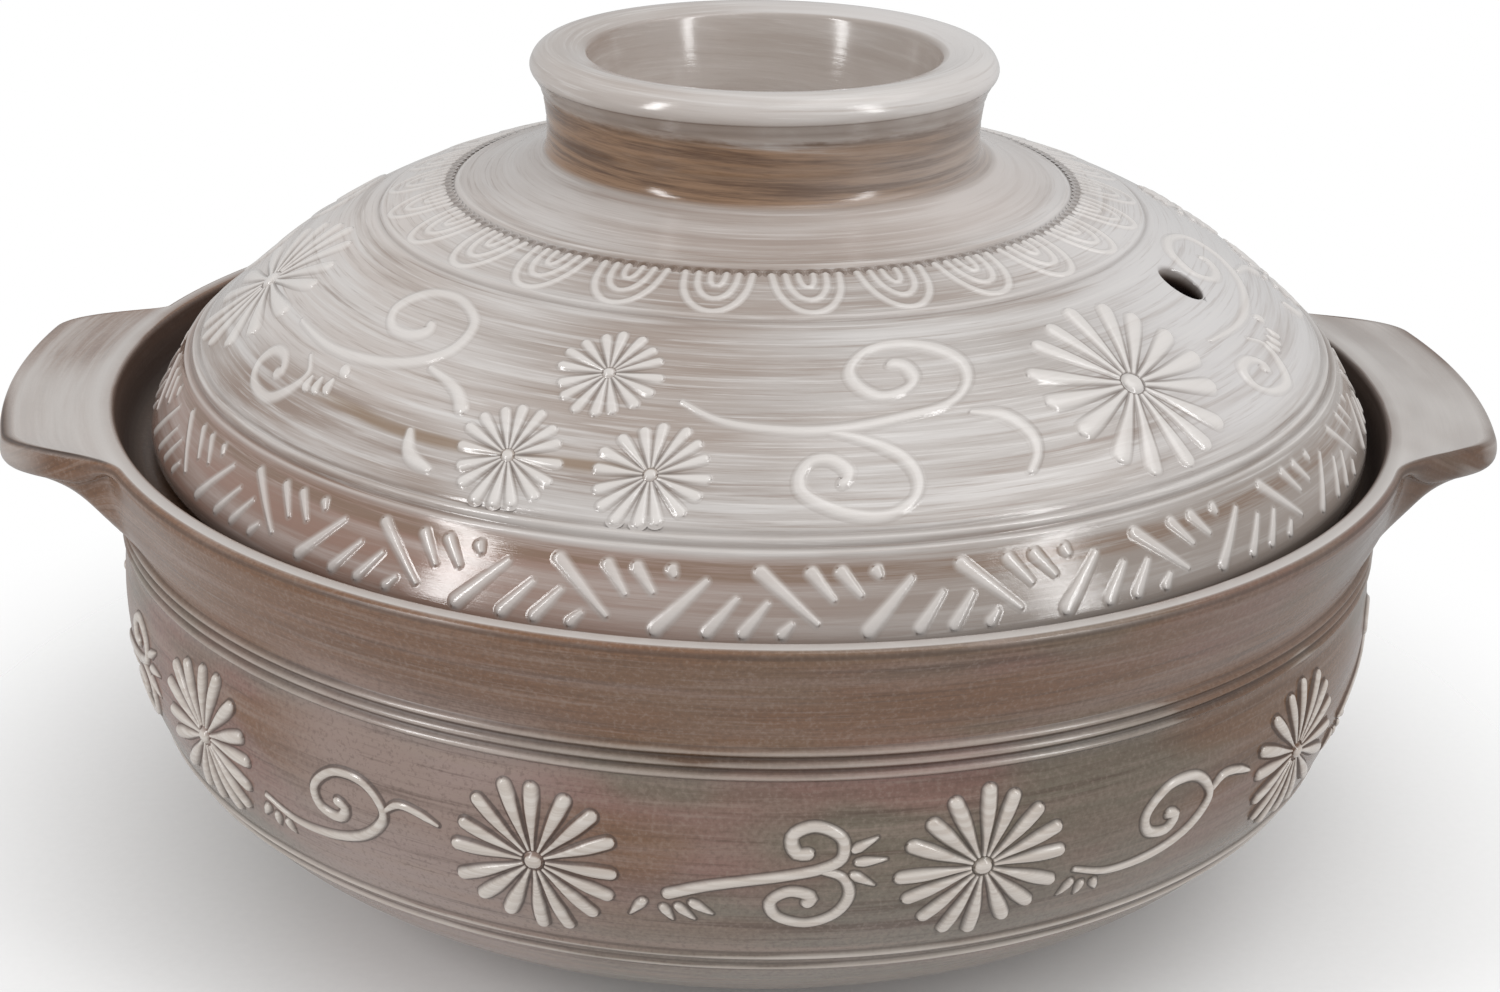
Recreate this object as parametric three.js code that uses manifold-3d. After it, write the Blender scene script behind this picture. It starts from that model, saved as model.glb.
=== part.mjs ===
// Lidded clay hot pot: a thrown bowl with two lug handles, and a domed lid with a ring grip.
// Millimetres, +Z up. The origin is the centre of the flat base, and the handles lie along X.

import * as THREE from 'three';
import { mergeVertices } from 'three/addons/utils/BufferGeometryUtils.js';
import Module from 'manifold-3d';

// Bowl
const potHeight = 91;
const rimRadius = 125;
const rimWall = 4.1;
const rimRound = 1.1;
const neckInset = 4.8;
const collarDrop = 18.3;
const collarBeads = 3;
const beadPitch = 2.1;
const beadProud = 0.9;
const bellyBulge = 2.2;
const bellyBulgeLevel = 0.72;
const bellyTuck = 1;
const bellyTuckLevel = 0.22;
const potWall = 7;
const floorThickness = 8;
const footRadius = 70;
const footHeight = 3.9;
const footRound = 1;
const footLineHeight = 30.5;
const footLinePitch = 3;
const footLineProud = 0.5;

// Ledge inside the rim that carries the lid
const ledgeDrop = 9;
const ledgeWidth = 6.4;
const galleryTaper = 2.1;

// Lug handles
const handleReach = 16.5;
const handleTipHalfAngle = 14;
const handleRootHalfAngle = 25;
const handleTipThickness = 6.2;
const handleRootDepth = 16.4;
const handleDish = 0.8;
const handleRound = 2.2;
const handleCorner = 9;
const handleSweep = 10;
const handleRootFill = 0.8;
const handleNoseShare = 0.45;
const handleUnderLead = 0.45;
const handleUnderTrail = 0.3;

// Lid
const gutterWidth = 4.9;
const lidShift = 1.6;
const lidWall = 5.5;
const lidEdgeHeight = 5.7;
const bandHeight = 11.9;
const bandInset = 6.8;
const grooveDepth = 0.7;
const groovePitch = 2;
const grooveWidth = 1.2;
const domeRise = 31.9;
const domeHaunchInset = 14.7;
const domeHaunchShare = 0.45;
const domeCrownReach = 29.3;
const domeCrownFall = 3.8;
const crownRadius = 47.4;
const collarRise = 1.5;
const seatRadius = 44.2;
const steamHoleRadius = 4;
const steamHoleOffset = 81.8;
const steamHoleAzimuth = 62.3;

// Ring grip
const gripHeight = 22.7;
const gripLipRadius = 43.6;
const gripNeckRadius = 40.6;
const gripBoreRadius = 33.5;
const gripBoreTaper = 3.5;
const gripLipHeight = 4.8;
const gripLipSquareness = 2.7;
const gripNeckShare = 0.55;

// Flowers raised on the belly and the lid, placed by degrees round the axis from the front
const petalCount = 16;
const petalRise = 0.85;
const petalCrest = 0.8;
const petalDip = 1.08;
const flowerHeart = 0.4;
const flowerRoot = 0.7;
const friezeClearance = 2.6;
const friezeCount = 10;
const friezeStart = -53.95;
const friezeFrontGaps = 3;
const friezeFrontPitch = 34.35;
const lidFlowerPlace = 0.31;
const lidFlowerShare = 0.23;
const clusterCount = 3;
const clusterStart = -21;
const clusterFlowerShare = 0.125;
const clusterPetalCount = 10;
const clusterPlaces = [[0.01, 0.13], [-0.16, -0.13], [0.17, -0.13]];

// Seams and fits
const luteGap = 0.3;
const seatGap = 0.3;

// Facets
const turns = 48;
const footSteps = 6;
const shoulderSteps = 4;
const insideSteps = 7;
const edgeSteps = 2;
const domeSteps = 7;
const domeInsideSteps = 5;
const gripSteps = 3;
const lipSteps = 8;
const flankSteps = 9;
const underSteps = 4;
const holeSides = 16;
const weldDistance = 1e-4;

// Levels and radii that follow from the sizes above
const neckRadius = rimRadius - neckInset;
const bandLevel = potHeight - 2 * rimRound;
const collarTop = potHeight - collarDrop;
const collarRadius = neckRadius + beadProud;
const collarBottom = collarTop - collarBeads * beadPitch;
const rimInner = rimRadius - rimWall;
const ledgeLevel = potHeight - ledgeDrop;
const ledgeOuter = rimInner - galleryTaper;
const ledgeInner = ledgeOuter - ledgeWidth;
const lidRadius = rimInner - gutterWidth;
const lidBottom = ledgeLevel + seatGap;
const lidShoulder = lidBottom + lidEdgeHeight;
const bandTop = lidShoulder + bandHeight;
const bandTopRadius = lidRadius - bandInset;
const crownLevel = bandTop + domeRise;
const seatLevel = crownLevel + collarRise;
const gripBottom = seatLevel + luteGap;
const gripTop = seatLevel + gripHeight;

const point = (radius, level) => new THREE.Vector2(radius, level);

function curve(start, lead, trail, end, steps) {
  return new THREE.CubicBezierCurve(start, lead, trail, end).getPoints(steps);
}

function arc(centre, radius, fromDegrees, toDegrees, steps) {
  const points = [];
  for (let i = 0; i <= steps; i += 1) {
    const angle = THREE.MathUtils.degToRad(fromDegrees + (toDegrees - fromDegrees) * i / steps);
    points.push(point(centre.x + radius * Math.cos(angle), centre.y + radius * Math.sin(angle)));
  }
  return points;
}

// Moves every point of an open profile sideways, to the left of its direction of travel.
function offset(points, distance) {
  return points.map((here, i) => {
    const before = points[Math.max(i - 1, 0)];
    const after = points[Math.min(i + 1, points.length - 1)];
    const along = after.clone().sub(before).normalize();
    return point(here.x - along.y * distance, here.y + along.x * distance);
  });
}

// A profile of radius and level turned about the Z axis.
function turned(profile) {
  const geometry = new THREE.LatheGeometry(profile, turns);
  geometry.rotateX(Math.PI / 2);
  geometry.deleteAttribute('normal');
  geometry.deleteAttribute('uv');
  return mergeVertices(geometry, weldDistance);
}

function part(name, geometry, colour, roughness) {
  const shaded = geometry.toNonIndexed();
  shaded.computeVertexNormals();
  const material = new THREE.MeshStandardMaterial({ color: colour, roughness, metalness: 0 });
  const mesh = new THREE.Mesh(shaded, material);
  mesh.name = name;
  return mesh;
}

const wasm = await Module();
wasm.setup();

function solid(geometry) {
  const mesh = new wasm.Mesh({
    numProp: 3,
    vertProperties: Float32Array.from(geometry.attributes.position.array),
    triVerts: Uint32Array.from(geometry.index.array),
  });
  return new wasm.Manifold(mesh);
}

function geometryOf(manifold) {
  const { vertProperties, triVerts } = manifold.getMesh();
  const geometry = new THREE.BufferGeometry();
  geometry.setAttribute('position', new THREE.BufferAttribute(vertProperties, 3));
  geometry.setIndex(new THREE.BufferAttribute(triVerts, 1));
  return geometry;
}

// Bowl

// The belly runs from the foot up to the collar, fullest a little below the collar.
const belly = new THREE.CubicBezierCurve(
  point(footRadius, footHeight),
  point(collarRadius + bellyTuck, collarBottom * bellyTuckLevel),
  point(collarRadius + bellyBulge, collarBottom * bellyBulgeLevel),
  point(neckRadius, collarBottom),
);

// The share of a line's length from which it passes a test, found by halving.
function shareWhere(line, passes) {
  let before = 0;
  let after = 1;
  for (let i = 0; i < 40; i += 1) {
    const middle = (before + after) / 2;
    if (passes(line.getPointAt(middle))) after = middle;
    else before = middle;
  }
  return after;
}

// A point beside a line that runs up a turned wall, raised out of the wall.
function raisedFrom(line, share, proud) {
  const here = line.getPointAt(share);
  const along = line.getTangentAt(share);
  return point(here.x + along.y * proud, here.y - along.x * proud);
}

// A pair of thin raised lines round the lower belly, listed from the foot upwards.
function footLines() {
  const points = [];
  for (const level of [footLineHeight - footLinePitch / 2, footLineHeight + footLinePitch / 2]) {
    for (const [shift, proud] of [[-footLinePitch / 4, 0], [0, footLineProud], [footLinePitch / 4, 0]]) {
      const share = shareWhere(belly, (p) => p.y > level + shift);
      points.push(raisedFrom(belly, share, proud));
    }
  }
  return points;
}

function bellyStretch(from, to, steps) {
  const points = [];
  for (let i = 0; i <= steps; i += 1) points.push(belly.getPointAt(from + (to - from) * i / steps));
  return points;
}

// Rounded beads with grooves between them, where the straight neck meets the belly.
function collar() {
  const points = [];
  for (let bead = collarBeads - 1; bead >= 0; bead -= 1) {
    const middle = collarTop - (bead + 0.5) * beadPitch;
    points.push(point(collarRadius, middle - beadPitch * 0.2), point(collarRadius, middle + beadPitch * 0.2));
    if (bead > 0) points.push(point(neckRadius, middle + beadPitch / 2));
  }
  return points;
}

function bowlProfile() {
  const belowLines = shareWhere(belly, (p) => p.y > footLineHeight - footLinePitch);
  const aboveLines = shareWhere(belly, (p) => p.y > footLineHeight + footLinePitch);
  const wall = offset(bellyStretch(1, 0, insideSteps), -potWall);
  const inside = wall.filter((p) => p.y > floorThickness && p.x < ledgeInner);
  const floorEdge = inside[inside.length - 1].x - potWall;
  return [
    point(0, 0),
    point(footRadius - 2 * footRound, 0),
    point(footRadius - footRound, footRound),
    ...bellyStretch(0, belowLines, footSteps),
    ...footLines(),
    ...bellyStretch(aboveLines, 1, shoulderSteps),
    ...collar(),
    point(neckRadius, collarTop),
    point(rimRadius, bandLevel),
    ...arc(point(rimRadius - rimRound, potHeight - rimRound), rimRound, 0, 90, edgeSteps),
    ...arc(point(rimInner + rimRound, potHeight - rimRound), rimRound, 90, 180, edgeSteps),
    point(ledgeOuter, ledgeLevel),
    point(ledgeInner, ledgeLevel),
    point(ledgeInner - rimRound, ledgeLevel - rimRound),
    ...inside,
    point(floorEdge, floorThickness),
    point(0, floorThickness),
  ];
}

// Handles

// Outer outline of a lug seen from above, from its middle to one end: a tip concentric with the rim,
// a rounded corner and a sweep back on to the rim. Points are radius and angle about the pot's axis.
function lugOutline() {
  const tipRadius = rimRadius + handleReach;
  const rootRadius = rimRadius + luteGap;
  const tipAngle = THREE.MathUtils.degToRad(handleTipHalfAngle);
  const rootAngle = THREE.MathUtils.degToRad(handleRootHalfAngle);
  const polar = (radius, angle) => point(radius * Math.cos(angle), radius * Math.sin(angle));
  const turn = (angle) => point(-Math.sin(angle), Math.cos(angle));
  const corner = polar(tipRadius, tipAngle);
  const root = polar(rootRadius + luteGap, rootAngle);
  const flank = curve(
    corner,
    corner.clone().addScaledVector(turn(tipAngle), handleCorner),
    root.clone().addScaledVector(turn(rootAngle), -handleSweep),
    root,
    flankSteps,
  );
  const tip = [0, 0.35, 0.7].map((share) => ({ radius: tipRadius, angle: tipAngle * share }));
  return [...tip, ...flank.map((p) => ({ radius: p.length(), angle: p.angle() }))];
}

// Radial section of a lug: top from the rim to the tip, round nose, and underside back to the neck.
function lugSection(radius) {
  const top = potHeight - rimRound / 2;
  const low = top - handleRootDepth;
  const slope = neckInset / (bandLevel - collarTop);
  const neckSide = neckRadius + luteGap + (low - collarTop) * slope;
  const root = rimRadius + luteGap;
  const reach = radius - root;
  const slack = Math.max(0, 1 - reach / handleReach) ** 4;
  const thickness = handleTipThickness + (handleRootDepth - handleTipThickness) * slack * handleRootFill;
  const round = Math.min(handleRound, reach * handleNoseShare);
  const dish = handleDish * reach / handleReach;
  const nose = top - round;
  const chin = top - thickness + round;
  return [
    point(root, top),
    point(root + reach / 3, top - dish),
    point(root + reach * 2 / 3, top - dish),
    ...arc(point(radius - round, nose), round, 90, 0, edgeSteps),
    ...arc(point(radius - round, chin), round, 0, -90, edgeSteps),
    ...curve(
      point(radius - round, chin - round),
      point(root + (reach - round) * handleUnderLead, chin - round),
      point(neckSide + (reach - round) * handleUnderTrail, low + (chin - round - low) * handleUnderLead),
      point(neckSide, low),
      underSteps,
    ).slice(1),
    point(root, bandLevel),
  ];
}

function lug() {
  const half = lugOutline();
  const mirrored = half.slice(1).reverse().map(({ radius, angle }) => ({ radius, angle: -angle }));
  const outline = [...mirrored, ...half];
  const positions = [];
  const triangles = [];
  const count = lugSection(half[0].radius).length;
  outline.forEach(({ radius, angle }) => {
    for (const p of lugSection(radius)) {
      positions.push(p.x * Math.cos(angle), p.x * Math.sin(angle), p.y);
    }
  });
  for (let row = 0; row + 1 < outline.length; row += 1) {
    for (let i = 0; i < count; i += 1) {
      const next = (i + 1) % count;
      const a = row * count + i;
      const b = row * count + next;
      triangles.push(a, b, a + count, b, b + count, a + count);
    }
  }
  const cap = THREE.ShapeUtils.triangulateShape(lugSection(half[half.length - 1].radius), []);
  const last = (outline.length - 1) * count;
  for (const [a, b, c] of cap) {
    triangles.push(a, b, c);
    triangles.push(last + a, last + c, last + b);
  }
  const geometry = new THREE.BufferGeometry();
  geometry.setAttribute('position', new THREE.Float32BufferAttribute(positions, 3));
  geometry.setIndex(triangles);
  return geometry;
}

// Lid

const dome = new THREE.CubicBezierCurve(
  point(bandTopRadius, bandTop),
  point(bandTopRadius - domeHaunchInset, bandTop + domeRise * domeHaunchShare),
  point(crownRadius + domeCrownReach, crownLevel - domeCrownFall),
  point(crownRadius, crownLevel),
);
const domePoints = dome.getPoints(domeSteps);

// Fillet from the dome up to the seat of the grip.
const sweep = new THREE.QuadraticBezierCurve(
  point(crownRadius, crownLevel),
  point(seatRadius, crownLevel),
  point(seatRadius, seatLevel),
).getPoints(edgeSteps);

// Two grooves run round the lid above the patterned band.
function bandGrooves() {
  const [foot, next] = domePoints;
  const along = next.clone().sub(foot).normalize();
  const points = [];
  for (const start of [0, groovePitch]) {
    const middle = foot.clone().addScaledVector(along, start + grooveWidth / 2);
    points.push(foot.clone().addScaledVector(along, start));
    points.push(point(middle.x - along.y * grooveDepth, middle.y + along.x * grooveDepth));
    points.push(foot.clone().addScaledVector(along, start + grooveWidth));
  }
  return points;
}

function domeProfile() {
  const wall = offset(dome.getPoints(domeInsideSteps).reverse(), -lidWall);
  const inside = wall.filter((p) => p.x < bandTopRadius - lidWall);
  const underCrown = seatLevel - lidWall - luteGap;
  return [
    point(0, underCrown),
    point(gripBoreRadius, underCrown),
    ...inside,
    point(bandTopRadius - lidWall * 0.75, bandTop - lidWall),
    point(lidRadius - lidWall, lidShoulder),
    point(lidRadius - lidWall * 0.9, lidBottom),
    point(lidRadius - 2 * rimRound, lidBottom),
    point(lidRadius - rimRound, lidBottom + rimRound),
    point(lidRadius, lidShoulder),
    ...bandGrooves(),
    ...domePoints.slice(1),
    ...sweep.slice(1),
    point(0, seatLevel),
  ];
}

function steamHole() {
  const length = crownLevel - lidBottom + 2 * lidWall;
  const drill = new THREE.CylinderGeometry(steamHoleRadius, steamHoleRadius, length, holeSides);
  const angle = THREE.MathUtils.degToRad(steamHoleAzimuth);
  drill.rotateX(Math.PI / 2);
  const across = steamHoleOffset * Math.sin(angle);
  const towards = -steamHoleOffset * Math.cos(angle);
  drill.translate(across, towards, lidBottom + length / 2);
  drill.deleteAttribute('normal');
  drill.deleteAttribute('uv');
  return mergeVertices(drill, weldDistance);
}

// Grip

// The ring's outside narrows to a neck and flares to a thick rolled lip; its bore tapers to the lid.
function gripProfile() {
  const lipLevel = gripTop - gripLipHeight;
  const lipHalf = (gripLipRadius - gripBoreRadius) / 2;
  const lipCentre = gripBoreRadius + lipHalf;
  const neckLevel = gripBottom + (lipLevel - gripBottom) * gripNeckShare;
  const rolled = [];
  for (let i = 0; i <= lipSteps; i += 1) {
    const angle = Math.PI * i / lipSteps;
    const across = Math.sign(Math.cos(angle)) * Math.abs(Math.cos(angle)) ** (2 / gripLipSquareness);
    const up = Math.abs(Math.sin(angle)) ** (2 / gripLipSquareness);
    rolled.push(point(lipCentre + lipHalf * across, lipLevel + gripLipHeight * up));
  }
  const flare = new THREE.QuadraticBezierCurve(
    point(seatRadius, gripBottom),
    point(gripNeckRadius, gripBottom),
    point(gripNeckRadius, neckLevel),
  ).getPoints(gripSteps);
  const throatMiddle = (neckLevel + lipLevel) / 2;
  const throat = curve(
    point(gripNeckRadius, neckLevel),
    point(gripNeckRadius, throatMiddle),
    point(gripLipRadius, throatMiddle),
    point(gripLipRadius, lipLevel),
    gripSteps,
  );
  const bottomBore = point(gripBoreRadius - gripBoreTaper, gripBottom);
  return [bottomBore, ...flare, ...throat.slice(1), ...rolled.slice(1), bottomBore];
}

// Raised flowers

// A spot on a turned wall, from millimetres across and up the wall about a place on its line.
function onWall(line, share, azimuth, across, up, proud) {
  const spot = raisedFrom(line, share + up / line.getLength(), proud);
  const turn = THREE.MathUtils.degToRad(azimuth) + across / spot.x;
  return [spot.x * Math.sin(turn), -spot.x * Math.cos(turn), spot.y];
}

// A stamped flower as one low solid: blunt petals round a raised heart, sunk into the wall behind them.
function flower(line, share, azimuth, [across, up], radius, petals) {
  const spot = (angle, reach, proud) => onWall(
    line, share, azimuth, across + reach * Math.cos(angle), up + reach * Math.sin(angle), proud,
  );
  const positions = [...spot(0, 0, flowerHeart), ...spot(0, 0, -flowerRoot)];
  const triangles = [];
  const [heart, back, first] = [0, 1, 2];
  const step = 2 * Math.PI / petals;
  for (let k = 0; k < petals; k += 1) {
    positions.push(...spot(step * k, radius * petalDip, -flowerRoot));
    positions.push(...spot(step * (k + 0.5), radius * petalCrest, petalRise));
    const dip = first + 2 * k;
    const crest = dip + 1;
    const nextDip = first + 2 * ((k + 1) % petals);
    triangles.push(heart, dip, crest, heart, crest, nextDip, crest, dip, nextDip, back, nextDip, dip);
  }
  const geometry = new THREE.BufferGeometry();
  geometry.setAttribute('position', new THREE.Float32BufferAttribute(positions, 3));
  geometry.setIndex(triangles);
  return geometry;
}

// Round the belly, midway between the foot lines and the collar: evenly spaced in front, and evenly but a
// little wider round the back.
function bellyFlowers() {
  const aboveLines = shareWhere(belly, (p) => p.y > footLineHeight + footLinePitch);
  const share = (aboveLines + 1) / 2;
  const radius = belly.getLength() * (1 - aboveLines) / 2 - friezeClearance;
  const backPitch = (360 - friezeFrontGaps * friezeFrontPitch) / (friezeCount - friezeFrontGaps);
  const flowers = [];
  for (let k = 0; k < friezeCount; k += 1) {
    const front = Math.min(k, friezeFrontGaps);
    const azimuth = friezeStart + front * friezeFrontPitch + (k - front) * backPitch;
    flowers.push(flower(belly, share, azimuth, [0, 0], radius, petalCount));
  }
  return flowers;
}

// Round the lid: clusters of three small flowers, with a large flower between each two clusters. Their sizes
// and places are shares of the length of the dome's line.
function lidFlowers() {
  const length = dome.getLength();
  const largeRadius = length * lidFlowerShare;
  const smallRadius = length * clusterFlowerShare;
  const flowers = [];
  for (let k = 0; k < clusterCount; k += 1) {
    const azimuth = clusterStart + k * 360 / clusterCount;
    const between = azimuth + 180 / clusterCount;
    flowers.push(flower(dome, lidFlowerPlace, between, [0, 0], largeRadius, petalCount));
    for (const [across, up] of clusterPlaces) {
      const place = [length * across, length * up];
      flowers.push(flower(dome, lidFlowerPlace, azimuth, place, smallRadius, clusterPetalCount));
    }
  }
  return flowers;
}

function withFlowers(geometry, flowers) {
  return wasm.Manifold.union([solid(geometry), ...flowers.map(solid)]);
}

const clay = 0x7d6e64;
const paleSlip = 0xc3beb9;
const brownNeck = 0x9a8876;
const glazeRoughness = 0.3;

const rightHandle = part('right_handle', lug(), clay, glazeRoughness);
const leftHandle = part('left_handle', lug(), clay, glazeRoughness);
leftHandle.rotation.z = Math.PI;

const pot = new THREE.Group();
const bowl = geometryOf(withFlowers(turned(bowlProfile()), bellyFlowers()));
pot.add(part('pot_bowl', bowl, clay, glazeRoughness), rightHandle, leftHandle);

const pierced = geometryOf(withFlowers(turned(domeProfile()), lidFlowers()).subtract(solid(steamHole())));
const lid = new THREE.Group();
lid.position.x = lidShift;
lid.add(
  part('lid_dome', pierced, paleSlip, glazeRoughness),
  part('lid_grip_ring', turned(gripProfile()), brownNeck, glazeRoughness),
);

const hotPot = new THREE.Group();
hotPot.add(pot, lid);

export default hotPot;
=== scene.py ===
import math

import bpy
import numpy as np
from mathutils import Matrix, Vector


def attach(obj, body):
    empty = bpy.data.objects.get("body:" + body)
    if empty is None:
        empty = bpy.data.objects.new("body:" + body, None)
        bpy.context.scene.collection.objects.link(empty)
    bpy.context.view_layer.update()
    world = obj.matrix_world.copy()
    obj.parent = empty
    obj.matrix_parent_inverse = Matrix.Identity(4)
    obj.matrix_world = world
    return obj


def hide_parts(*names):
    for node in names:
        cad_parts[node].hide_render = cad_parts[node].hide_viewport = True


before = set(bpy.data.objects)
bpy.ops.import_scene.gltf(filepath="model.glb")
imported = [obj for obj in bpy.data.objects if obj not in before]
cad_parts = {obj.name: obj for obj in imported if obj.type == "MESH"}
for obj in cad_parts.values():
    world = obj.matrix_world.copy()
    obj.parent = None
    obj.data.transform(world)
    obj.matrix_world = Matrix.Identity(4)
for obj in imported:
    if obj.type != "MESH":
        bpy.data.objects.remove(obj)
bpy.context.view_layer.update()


# POT BOWL AND LUG HANDLES
# The bowl is turned from coarse clay with a collar of beads under a plain neck, and a ledge inside the
# rim for the lid. Two pressed lugs are luted on flush with the rim and smoothed in with wet clay, so
# bowl and lugs are one skin. Pale slip is brushed on round and round, then a clear glossy glaze.
MM = 0.001
pot_height = 91.0
rim_radius = 125.0
rim_inner = 120.9
rim_round = 1.1
neck_radius = 120.2
collar_top = 72.7
collar_bottom = 66.4
bead_pitch = 2.1
bead_proud = 0.9
foot_radius = 70.0
foot_height = 3.9
foot_line_levels = (29.0, 32.0)
foot_line_proud = 0.55
foot_line_step = 0.3
ledge_level = 82.0
ledge_inner = 111.3
floor_level = 8.0
lug_reach = 16.5
lug_front_root = math.radians(25.0)
lug_front_tip = math.radians(14.0)
lug_back_root = math.radians(18.2)
lug_back_tip = math.radians(10.5)
lug_thickness = 6.0
lug_nose = 2.4
lug_dish = 0.7
lug_root = 6.5
lug_root_fade = math.radians(7.0)


def bezier(start, lead, trail, end, count):
    t = np.linspace(0, 1, count)[:, None]
    start, lead, trail, end = (np.array(p, float) for p in (start, lead, trail, end))
    return (1 - t) ** 3 * start + 3 * t * (1 - t) ** 2 * lead + 3 * t * t * (1 - t) * trail + t**3 * end


def lengths(points):
    steps = np.hypot(*np.diff(points, axis=0).T)
    return np.concatenate([[0.0], np.cumsum(steps)])


def respaced(points, places):
    along = lengths(points)
    return np.stack([np.interp(places, along, points[:, k]) for k in (0, 1)], 1)


def smooth(low, high, value):
    t = np.clip((value - low) / (high - low), 0, 1)
    return t * t * (3 - 2 * t)


def bump(distance, width):
    return np.exp(-((distance / width) ** 2))


def outward(points):
    """Unit normals of a profile, to the right of its direction of travel."""
    along = np.gradient(points, axis=0)
    along /= np.linalg.norm(along, axis=1)[:, None]
    return np.stack([along[:, 1], -along[:, 0]], 1)


# Belly from the foot up to the collar, with closer rows where the two foot lines stand proud.
belly_curve = bezier(
    (foot_radius, foot_height), (122.1, 14.6), (123.3, 47.8), (neck_radius, collar_bottom), 600
)
belly_length = lengths(belly_curve)[-1]
foot_line_places = [np.interp(level, belly_curve[:, 1], lengths(belly_curve)) for level in foot_line_levels]
plain_places = np.linspace(0, belly_length, 46)
fine_places = np.arange(foot_line_places[0] - 2.4, foot_line_places[1] + 2.4, foot_line_step)
clear_of_lines = np.abs(plain_places - np.mean(foot_line_places)) > 4.4
belly_places = np.sort(np.concatenate([plain_places[clear_of_lines], fine_places]))
belly = respaced(belly_curve, belly_places)
line_crest = sum(bump(belly_places - place, 0.62) for place in foot_line_places)
line_foot = sum(bump(np.abs(belly_places - place) - 1.1, 0.4) for place in foot_line_places)
belly = belly + outward(belly) * (foot_line_proud * line_crest)[:, None]

# Collar of three beads.
collar_levels = np.linspace(collar_bottom, collar_top, 31)[1:-1]
bead_wave = 0.5 - 0.5 * np.cos(2 * math.pi * (collar_levels - collar_bottom) / bead_pitch)
collar = np.stack([neck_radius + bead_proud * bead_wave**0.8, collar_levels], 1)

tip_radius = rim_radius + lug_reach


def around(radius, angle):
    return radius * np.array([math.cos(angle), math.sin(angle)])


def along_rim(angle):
    return np.array([-math.sin(angle), math.cos(angle)])


def lug_side(tip_angle, root_angle, corner, sweep):
    """Half of a lug from above, middle to root: angles from its middle, and reaches past the rim."""
    flank = bezier(
        around(tip_radius, tip_angle),
        around(tip_radius, tip_angle) + corner * along_rim(tip_angle),
        around(rim_radius, root_angle) - sweep * along_rim(root_angle),
        around(rim_radius, root_angle),
        200,
    )
    tip = np.array([around(tip_radius, angle) for angle in np.linspace(0, tip_angle, 60)])
    outline = np.concatenate([tip, flank[1:]])
    outline = respaced(outline, np.linspace(0, lengths(outline)[-1], 62))
    return np.arctan2(outline[:, 1], outline[:, 0]), np.hypot(*outline.T) - rim_radius


front_angles, front_reaches = lug_side(lug_front_tip, lug_front_root, 9.0, 10.0)
back_angles, back_reaches = lug_side(lug_back_tip, lug_back_root, 9.5, 3.0)

# Columns of the skin: close together over each lug, a degree apart elsewhere.
right_lug = math.pi / 2 + np.concatenate([-front_angles[:0:-1], back_angles])
left_lug = 1.5 * math.pi + np.concatenate([-back_angles[:0:-1], front_angles])
back_columns = np.linspace(right_lug[-1], left_lug[0], 140)[1:-1]
front_columns = np.linspace(left_lug[-1], right_lug[0] + 2 * math.pi, 132)[1:-1]
pot_azimuths = np.concatenate([right_lug, back_columns, left_lug, front_columns])
off_lug = np.abs(pot_azimuths % math.pi - math.pi / 2)
at_back = np.cos(pot_azimuths) < 0
front_reach = np.interp(off_lug, front_angles, front_reaches, right=0.0)
back_reach = np.interp(off_lug, back_angles, back_reaches, right=0.0)
reach = np.where(at_back, back_reach, front_reach)
lug_end = np.where(at_back, lug_back_root, lug_front_root)

# Neck and lug rows: the underside sweeps out from the neck to a round nose, and the top runs back
# to the rim.
lug_share = smooth(0.0, 7.0, reach)
nose_depth = 2 * rim_round + (lug_thickness - 2 * rim_round) * lug_share
chin = pot_height - nose_depth
outer = rim_radius + reach
neck_slope = (rim_radius - neck_radius) / (pot_height - 2 * rim_round - collar_top)
under_share = np.linspace(0, 1, 17)[:, None] ** 0.75
under_level = collar_top + under_share * (chin - collar_top)
under_neck = neck_radius + neck_slope * (under_level - collar_top)
under_end = outer - lug_nose * lug_share
root_spread = lug_root * smooth(lug_root_fade, -lug_root_fade, off_lug - lug_end)
under_bend = under_share ** (1.4 + 2.6 * smooth(1.0, 13.0, reach))
under_turn = under_bend * (lug_share * (under_end - under_neck) - root_spread)
under_radius = under_neck + root_spread * under_share**0.7 + under_turn
nose_middle = chin + nose_depth * 0.45
nose_angle = np.radians(np.linspace(-90, 0, 7)[1:])[:, None]
low_nose_radius = under_radius[-1] + (outer - under_radius[-1]) * np.cos(nose_angle)
low_nose_level = nose_middle + (nose_middle - chin) * np.sin(nose_angle)
high_nose_radius = outer - rim_round * (1 - np.cos(nose_angle + math.pi / 2))
high_nose_level = nose_middle + (pot_height - nose_middle) * np.sin(nose_angle + math.pi / 2)
top_share = np.linspace(0, 1, 10)[1:, None]
top_start = outer - rim_round
top_radius = top_start + top_share * (rim_radius - rim_round - top_start)
top_level = pot_height - lug_dish * np.sin(math.pi * top_share) * reach / lug_reach
neck_radii = np.concatenate([under_radius, low_nose_radius, high_nose_radius, top_radius])
neck_levels = np.concatenate([under_level, low_nose_level, high_nose_level, top_level])


def neck_rows(under, low_nose, high_nose, top):
    """One value for each neck row: under the lug, both halves of its nose, and its top."""
    counts = (len(under_share), len(nose_angle), len(nose_angle), len(top_share))
    groups = (under, low_nose, high_nose, top)
    return np.concatenate([np.zeros(count) + group for count, group in zip(counts, groups)])[:, None]


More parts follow.
